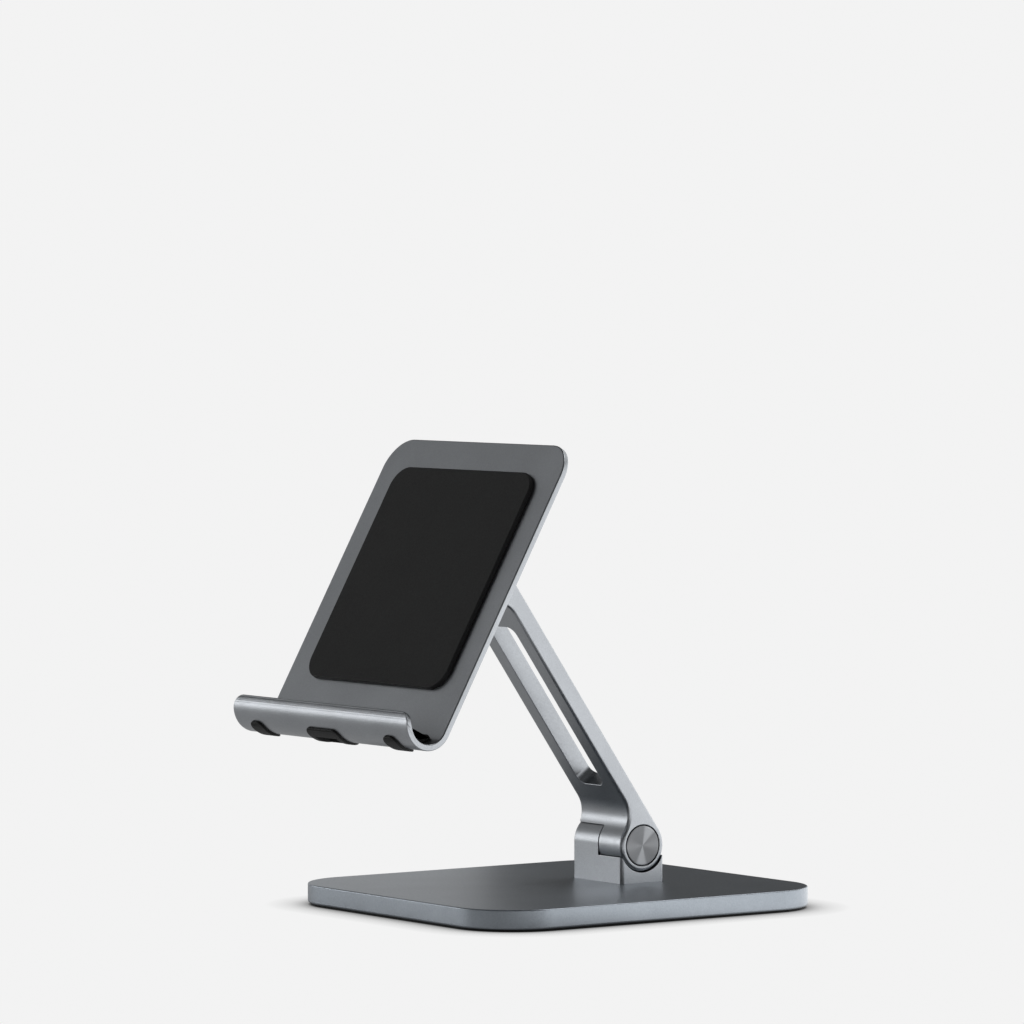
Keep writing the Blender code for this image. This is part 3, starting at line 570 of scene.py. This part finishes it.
# --- Arm --------------------------------------------------------------------------------------
def arm_outline():
    """Two barrels joined by a bar, with a round neck between the bar's front and each barrel."""
    radius, fillet, top = BARREL_RADIUS, ARM_NECK, ARM_LENGTH
    centre_y = ARM_FRONT - fillet
    centre_z = math.sqrt((radius + fillet) ** 2 - centre_y ** 2)
    lean = math.atan2(centre_z, centre_y)
    return (arc((0, top), radius, 0, 2 * math.pi - lean, 72)
            + arc((centre_y, top - centre_z), fillet, math.pi - lean, 0, 20)
            + arc((centre_y, centre_z), fillet, 0, lean - math.pi, 20)
            + arc((0, 0), radius, lean, 2 * math.pi, 72))


def make_arm():
    arm = prism("arm_body", [arm_outline()], -ARM_HALF, ARM_HALF, "X", ARM_FRAME)
    soften(arm, EDGE_ROUND, lambda at: 1.0, 5)
    inner = KNUCKLE_SPLIT + KNUCKLE_GAP / 2
    for place in (ARM_FRAME, ARM_TOP_FRAME):
        cut(arm, stepped_bore([
            (CAP_RADIUS + CAP_GAP, ARM_HALF + PAST),
            (COUNTERBORE, ARM_HALF - CAP_RECESS),
            (AXLE_BORE, ARM_HALF - CAP_RECESS - NUT_BORE_DEPTH),
            (WASHER_RECESS, inner + WASHER_RECESS_DEPTH),
            (CRADLE_RADIUS, inner),
        ], -ARM_HALF - PAST, place))
    length = ARM_LENGTH - 2 * SLOT_MARGIN
    slot = rounded_rectangle(length, 2 * SLOT_HALF, SLOT_CORNER, 14)
    outline = [(z + ARM_LENGTH / 2, x) for z, x in slot]
    cut(arm, prism("slot", [outline], -BARREL_RADIUS, BARREL_RADIUS + PAST, "Y", ARM_FRAME))
    break_edges(arm, ARM_BREAK, 3)
    finish_piece(arm, ARM_METAL, "arm", ["arm"])


# --- Holder -----------------------------------------------------------------------------------
HOOK_SLOT_START = math.radians(57)
HOOK_SLOT_END = math.radians(126)
CABLE_SLOT_END = math.radians(134)
HOOK_SLOT_HALF = 0.0040
CABLE_SLOT_HALF = 0.0100
SLOT_ROUND = 0.0030
GRIP_FROM_SIDE = 0.0131
GRIP_X = HOLDER_HALF - GRIP_FROM_SIDE
GRIP_PROUD = 0.0008
GRIP_GAP = 0.0003
GRIP_THICKNESS = 0.00147
GRIP_INNER = HOOK_INNER - GRIP_GAP - GRIP_THICKNESS
GRIP_START = math.radians(25)
GRIP_END = math.radians(160)
GRIP_PAST_SLOT = 0.0032
GRIP_LIP = 0.0003
GRIP_SLACK = 0.0001
GRIP_ROUND = 0.0004
GRIP_BREAK = 0.00025
GRIP_SHARP_ANGLE = math.radians(50)
BACK_GRIP_ROUND = 0.0005
NOTCH_AT = math.radians(102)
NOTCH_DEPTH = 0.0068
NOTCH_HALF = 0.0065


def holder_outline():
    """The sheet's edge seen from the side: a flat plate that ends in the hook's half circle."""
    centre = (HOOK_Y, -HOOK_BELOW)
    return ([(PLATE_BACK, PLATE_TOP)] + arc(centre, HOOK_RADIUS, 0, -math.pi, 72)
            + arc(centre, HOOK_INNER, -math.pi, 0, 72) + [(PLATE_FRONT, PLATE_TOP)])


def corner_cutter(side, top, radius, low_y, high_y, steps=24):
    """What is outside a round corner whose topmost point is at top."""
    x = side * (HOLDER_HALF - radius)
    z = top - radius
    past = radius + PAST
    quarter = [(z + radius * math.sin(a), x + side * radius * math.cos(a))
               for a in (math.pi / 2 * i / steps for i in range(steps + 1))]
    outside = [(z + past, x), (z + past, x + side * past), (z, x + side * past)]
    return prism("corner", [quarter + outside], low_y, high_y, "Y", HOLDER_FRAME)


def ring_sector(name, inner, outer, start, end, x, half, steps=40):
    """A piece of a ring round the hook's centre."""
    centre = (HOOK_Y, -HOOK_BELOW)
    outline = (arc(centre, outer, math.pi + start, math.pi + end, steps)
               + arc(centre, inner, math.pi + end, math.pi + start, steps))
    return prism(name, [outline], x - half, x + half, "X", HOLDER_FRAME)


def rounded_sector(name, inner, outer, start, end, x, half, rounding,
                   round_steps=12, middle_steps=24):
    """A piece of a ring round the hook's centre, with the corners of both ends rounded."""
    quarter = [math.pi / 2 * i / round_steps for i in range(round_steps + 1)]
    ends = [(rounding * (1 - math.cos(a)) / HOOK_RADIUS, half - rounding * (1 - math.sin(a)))
            for a in quarter]
    first = start + rounding / HOOK_RADIUS
    length = end - start - 2 * rounding / HOOK_RADIUS
    sections = [(start + turn, width) for turn, width in ends]
    sections += [(first + length * i / middle_steps, half) for i in range(1, middle_steps)]
    sections += [(end - turn, width) for turn, width in reversed(ends)]
    shape = bmesh.new()
    rings = [[shape.verts.new((x + side * width, HOOK_Y - radius * math.cos(angle),
                               -HOOK_BELOW - radius * math.sin(angle)))
              for side, radius in ((-1, inner), (1, inner), (1, outer), (-1, outer))]
             for angle, width in sections]
    for near, far in zip(rings, rings[1:]):
        for i in range(4):
            shape.faces.new((near[i], near[(i + 1) % 4], far[(i + 1) % 4], far[i]))
    shape.faces.new(rings[0])
    shape.faces.new(rings[-1])
    bmesh.ops.triangulate(shape, faces=shape.faces)
    mesh = bpy.data.meshes.new(name)
    turn_outward(shape, mesh)
    return new_object(name, mesh, HOLDER_FRAME)


def back_grip_place():
    """The grip sheet's middle height, height, width and y range, all in the holder's own frame."""
    inverse = HOLDER_FRAME.inverted()
    corners = [inverse @ vertex.co for vertex in frame["nodes"]["back_grip_pad"].data.vertices]
    low = [min(corner[axis] for corner in corners) for axis in range(3)]
    high = [max(corner[axis] for corner in corners) for axis in range(3)]
    return (low[2] + high[2]) / 2, high[2] - low[2], high[0] - low[0], low[1], high[1]


def make_holder():
    plate = prism("holder_plate_body", [holder_outline()], -HOLDER_HALF, HOLDER_HALF,
                  "X", HOLDER_FRAME)
    for side in (-1, 1):
        cut(plate, corner_cutter(side, PLATE_TOP, PLATE_CORNER,
                                 PLATE_FRONT - PAST, PLATE_BACK + PAST))
        cut(plate, corner_cutter(side, -HOOK_BELOW, LIP_CORNER, HOOK_Y - HOOK_RADIUS - PAST,
                                 HOOK_Y - HOOK_RADIUS / 2))
    break_edges(plate, PLATE_BREAK, 3)
    for x, half, end in ((-GRIP_X, HOOK_SLOT_HALF, HOOK_SLOT_END),
                         (GRIP_X, HOOK_SLOT_HALF, HOOK_SLOT_END),
                         (0.0, CABLE_SLOT_HALF, CABLE_SLOT_END)):
        cut(plate, rounded_sector("slot", HOOK_INNER - PAST, HOOK_RADIUS + PAST,
                                  HOOK_SLOT_START, end, x, half, SLOT_ROUND))
    middle, height, width, _, _ = back_grip_place()
    pocket = rounded_rectangle(height + 4 * HAIRLINE, width + 4 * HAIRLINE,
                               BACK_GRIP_CORNER + 2 * HAIRLINE, 24)
    cut(plate, prism("pocket", [[(z + middle, x) for z, x in pocket]], PLATE_FRONT - PAST,
                     PLATE_FRONT + BACK_GRIP_POCKET, "Y", HOLDER_FRAME))
    cut(plate, *screw_holes(BRACKET_SCREWS, HOLDER_FRAME, BRACKET_SCREW_HEAD_RADIUS,
                            PLATE_FRONT, PLATE_FRONT + BRACKET_SCREW_HEAD_DEPTH, "Y"))
    cut(plate, *screw_holes(BRACKET_SCREWS, HOLDER_FRAME, BRACKET_SCREW_RADIUS,
                            PLATE_FRONT, PLATE_BACK + PAST, "Y"))
    finish_piece(plate, HOLDER_METAL, "holder", ["holder_plate"])


def make_grip(name, node, x, half, slot_end, notch):
    """A moulded grip: a pad inside the hook, and a plug that stands proud outside it."""
    slack = GRIP_SLACK / HOOK_RADIUS
    pad = ring_sector(name, GRIP_INNER, HOOK_INNER - HAIRLINE, GRIP_START, GRIP_END,
                      x, half + GRIP_PAST_SLOT)
    soften(pad, GRIP_ROUND, lambda at: 1.0, 3)
    plug = rounded_sector("plug", HOOK_INNER - PAST, HOOK_RADIUS + PAST, HOOK_SLOT_START + slack,
                          slot_end - slack, x, half - GRIP_SLACK, SLOT_ROUND - GRIP_SLACK)
    shell = ring_sector("shell", (GRIP_INNER + HOOK_INNER) / 2, HOOK_RADIUS + GRIP_PROUD,
                        HOOK_SLOT_START - slack, slot_end + slack, x, half + GRIP_LIP)
    cut(plug, shell, operation="INTERSECT")
    cut(pad, plug, operation="UNION")
    if notch:
        out = (-math.cos(NOTCH_AT), -math.sin(NOTCH_AT))
        outline = []
        for along, across in ((GRIP_INNER / 2, 1), (GRIP_INNER / 2, -1),
                              (HOOK_RADIUS + PAST, -1), (HOOK_RADIUS + PAST, 1)):
            shift = across * NOTCH_DEPTH / 2
            outline.append((HOOK_Y + along * out[0] - shift * out[1],
                            -HOOK_BELOW + along * out[1] + shift * out[0]))
        cut(pad, prism("notch", [outline], -NOTCH_HALF, NOTCH_HALF, "X", HOLDER_FRAME))
    break_edges(pad, GRIP_BREAK, 3, sharper_than=GRIP_SHARP_ANGLE)
    finish_piece(pad, GRIP_RUBBER, "holder", [node])


def make_back_grip():
    middle, height, width, low_y, high_y = back_grip_place()
    flat = rounded_rectangle(height, width, BACK_GRIP_CORNER, 24)
    outline = [(z + middle, x) for z, x in flat]
    pad = prism("back_grip_sheet", [outline], low_y, high_y, "Y", HOLDER_FRAME)
    soften(pad, BACK_GRIP_ROUND, lambda at: 1.0, 4)
    finish_piece(pad, GRIP_RUBBER, "holder", ["back_grip_pad"])


# --- Pieces that keep their frame mesh --------------------------------------------------------
def dress_frame_nodes():
    """Gives the screws and the hinges' inner hardware their materials."""
    for name, obj in frame["nodes"].items():
        metal = None
        if "friction_washer" in name:
            metal = ACETAL
        elif any(word in name for word in ("screw", "axle", "steel_washer", "spring", "nut")):
            metal = STEEL
        if metal:
            obj.data.materials.clear()
            obj.data.materials.append(metal)


make_base()
make_block("base_hinge_body", STANDOFF + FOOT_IN_BASE, False, LOWER_FRAME,
           BASE_SCREWS, BASE_SCREW_RADIUS, "base", "base_hinge_block")
make_arm()
make_holder()
make_back_grip()
make_grip("hook_grip_left_rubber", "hook_grip_left", -GRIP_X,
          HOOK_SLOT_HALF, HOOK_SLOT_END, False)
make_grip("hook_grip_right_rubber", "hook_grip_right", GRIP_X,
          HOOK_SLOT_HALF, HOOK_SLOT_END, False)
make_grip("cable_grip_rubber", "cable_grip", 0.0, CABLE_SLOT_HALF, CABLE_SLOT_END, True)
make_block("holder_bracket_body", STANDOFF, True, BRACKET_FRAME,
           BRACKET_SCREWS, BRACKET_SCREW_RADIUS, "holder", "holder_bracket")
make_cap("lower_cap_right_disc", 1, LOWER_FRAME, LOWER_CAP_METAL, "arm", "lower_cap_right")
make_cap("lower_cap_left_disc", -1, LOWER_FRAME, LOWER_CAP_METAL, "base", "lower_cap_left")
make_cap("upper_cap_right_disc", 1, ARM_TOP_FRAME, UPPER_CAP_METAL, "arm", "upper_cap_right")
make_cap("upper_cap_left_disc", -1, ARM_TOP_FRAME, UPPER_CAP_METAL, "holder", "upper_cap_left")
dress_frame_nodes()


# --- Studio -----------------------------------------------------------------------------------
PALE = 0.895
FLOOR_REACH = 40.0
FLOOR_SHADOW_REACH = 0.016
FLOOR_SHADOW_POWER = 1.6
FLOOR_IN_REFLECTIONS = 0.45
LIT_SIDE_IN_REFLECTIONS = 1.70
LIT_SIDE_HEADING = math.radians(36)
LIT_SIDE_START = 0.045
LIT_SIDE_END = 0.085


def make_floor():
    """A pale floor that glows evenly to the camera, as a lit table does, with a painted contact shadow close to
    the stand; in reflections it glows dimmer, and brighter on its lit side.
    """
    mesh = bpy.data.meshes.new("floor")
    # One triangle, because a seam between two shows as a faint line.
    mesh.from_pydata([(-2 * FLOOR_REACH, -FLOOR_REACH, 0), (2 * FLOOR_REACH, -FLOOR_REACH, 0),
                      (0, 2 * FLOOR_REACH, 0)], [], [(0, 1, 2)])
    floor = new_object("floor", mesh, Matrix.Translation((0, 0, -HAIRLINE)))
    material = bpy.data.materials.new("pale_floor")
    material.use_nodes = True
    tree = material.node_tree
    tree.nodes.clear()
    # Painted contact shadow: ambient occlusion dims the floor's glow close to the stand.
    near = tree.nodes.new("ShaderNodeAmbientOcclusion")
    near.inputs["Distance"].default_value = FLOOR_SHADOW_REACH
    deepen = tree.nodes.new("ShaderNodeMath")
    deepen.operation = "POWER"
    deepen.inputs[1].default_value = FLOOR_SHADOW_POWER
    dim = tree.nodes.new("ShaderNodeMath")
    dim.operation = "MULTIPLY"
    # Camera rays see the pale floor; other rays see a dimmer glow, brighter towards the lit side, that stands in
    # for light on the table.
    seen = tree.nodes.new("ShaderNodeLightPath")
    place = tree.nodes.new("ShaderNodeTexCoord")
    towards = tree.nodes.new("ShaderNodeVectorMath")
    towards.operation = "DOT_PRODUCT"
    towards.inputs[1].default_value = (math.cos(LIT_SIDE_HEADING),
                                       math.sin(LIT_SIDE_HEADING), 0)
    tree.links.new(place.outputs["Object"], towards.inputs[0])
    ramp = tree.nodes.new("ShaderNodeMapRange")
    for socket, value in (("From Min", LIT_SIDE_START), ("From Max", LIT_SIDE_END),
                          ("To Min", FLOOR_IN_REFLECTIONS), ("To Max", LIT_SIDE_IN_REFLECTIONS)):
        ramp.inputs[socket].default_value = value
    tree.links.new(towards.outputs["Value"], ramp.inputs["Value"])
    level = tree.nodes.new("ShaderNodeMix")
    level.inputs["B"].default_value = PALE
    tree.links.new(ramp.outputs["Result"], level.inputs["A"])
    tree.links.new(seen.outputs["Is Camera Ray"], level.inputs["Factor"])
    tree.links.new(level.outputs["Result"], dim.inputs[1])
    glow = tree.nodes.new("ShaderNodeEmission")
    end = tree.nodes.new("ShaderNodeOutputMaterial")
    tree.links.new(near.outputs["AO"], deepen.inputs[0])
    tree.links.new(deepen.outputs[0], dim.inputs[0])
    tree.links.new(dim.outputs[0], glow.inputs["Strength"])
    tree.links.new(glow.outputs[0], end.inputs["Surface"])
    mesh.materials.append(material)


# Soft boxes round the stand: (heading from +X towards +Y, elevation, half width, half height, soft
# edge), all in degrees, and how bright each is.
SOFT_BOXES = {
    "right_back_wall": ((66, -2, 46, 28, 14), 1.54),
    "back_edge": ((117, 9, 16, 16, 10), 1.00),
    "overhead_back": ((86, 54, 30, 14, 14), 2.80),
    "back_left": ((152, 14, 22, 16, 16), 0.05),
    "left_strip": ((215, 6, 24, 9, 8), 2.60),
    "left_high": ((202, 30, 26, 14, 10), 0.30),
    "left_level": ((212, -4, 24, 8, 8), 0.50),
    "front_left": ((262, 2, 20, 18, 16), 0.15),
    "camera_side": ((-36, 4, 26, 20, 20), 0.10),
}
SEAM_HEADING = -75.0
AMBIENT = 0.05


def make_world():
    """A dim room with soft boxes for all that reflects it, and a pale backdrop for the camera."""
    world = bpy.data.worlds.new("studio")
    bpy.context.scene.world = world
    world.use_nodes = True
    tree = world.node_tree
    tree.nodes.clear()

    def add(kind, *inputs, **settings):
        node = tree.nodes.new(kind)
        for key, value in settings.items():
            setattr(node, key, value)
        for socket, value in zip(node.inputs, inputs):
            if isinstance(value, bpy.types.NodeSocket):
                tree.links.new(value, socket)
            elif value is not None:
                socket.default_value = value
        return node

    def calc(operation, *inputs):
        return add("ShaderNodeMath", *inputs, operation=operation).outputs[0]

    turn = math.radians(SEAM_HEADING + 180)
    direction = add("ShaderNodeTexCoord").outputs["Generated"]
    split = add("ShaderNodeSeparateXYZ", direction)
    ahead = calc("ADD", calc("MULTIPLY", split.outputs["X"], math.cos(turn)),
                 calc("MULTIPLY", split.outputs["Y"], math.sin(turn)))
    aside = calc("SUBTRACT", calc("MULTIPLY", split.outputs["Y"], math.cos(turn)),
                 calc("MULTIPLY", split.outputs["X"], math.sin(turn)))
    heading = calc("MULTIPLY", calc("ARCTAN2", aside, ahead), math.degrees(1))
    elevation = calc("MULTIPLY", calc("ARCSINE", split.outputs["Z"]), math.degrees(1))

    total = None
    for (centre, height, half_width, half_height, soft), power in SOFT_BOXES.values():
        mask = power
        for value, middle, half in ((heading, centre - SEAM_HEADING - 180, half_width),
                                    (elevation, height, half_height)):
            away = calc("ABSOLUTE", calc("SUBTRACT", value, middle))
            edge = add("ShaderNodeMapRange", away, half + soft / 2, half - soft / 2, 0.0, 1.0,
                       interpolation_type="SMOOTHSTEP").outputs[0]
            mask = calc("MULTIPLY", edge, mask)
        total = mask if total is None else calc("ADD", total, mask)
    total = calc("ADD", total, AMBIENT)
    room = add("ShaderNodeBackground", (1, 1, 1, 1), total)
    backdrop = add("ShaderNodeBackground", (1, 1, 1, 1), PALE)
    seen = add("ShaderNodeLightPath").outputs["Is Camera Ray"]
    both = add("ShaderNodeMixShader", seen, room.outputs[0], backdrop.outputs[0])
    add("ShaderNodeOutputWorld", both.outputs[0])


CAMERA_YAW = math.radians(54.354)
CAMERA_PITCH = math.radians(2.357)
CAMERA_AT = (1.75593, -1.27943, 0.23243)
CAMERA_LENS = 210.94


def make_camera():
    """The photograph's view, as found by fitting straight edges."""
    camera = bpy.data.cameras.new("camera")
    camera.lens = CAMERA_LENS
    camera.sensor_width = 36.0
    camera.clip_start = 0.05
    obj = bpy.data.objects.new("camera", camera)
    bpy.context.scene.collection.objects.link(obj)
    obj.location = CAMERA_AT
    obj.rotation_euler = (math.pi / 2 - CAMERA_PITCH, 0.0, CAMERA_YAW)
    bpy.context.scene.camera = obj


STRIP_SIZE = (0.34, 0.25)
STRIP_POWER = 0.14
STRIP_HEADING = math.radians(36)
STRIP_AWAY = 0.42
STRIP_ASIDE = 0.20
STRIP_UP = 0.14


def make_strip():
    """A low soft light beyond the base's left, which brightens the base's top on that side."""
    light = bpy.data.lights.new("left_strip", "AREA")
    light.shape = "RECTANGLE"
    light.size, light.size_y = STRIP_SIZE
    light.energy = STRIP_POWER
    obj = bpy.data.objects.new("left_strip", light)
    bpy.context.scene.collection.objects.link(obj)
    away = Vector((-math.cos(STRIP_HEADING), math.sin(STRIP_HEADING), 0))
    aside = Vector((-away.y, away.x, 0))
    obj.location = away * STRIP_AWAY + aside * STRIP_ASIDE + Vector((0, 0, STRIP_UP))
    obj.rotation_euler = away.to_track_quat("Z", "Y").to_euler()
    obj.visible_camera = False


make_floor()
make_world()
make_camera()
make_strip()
bpy.context.scene.view_settings.view_transform = "Standard"
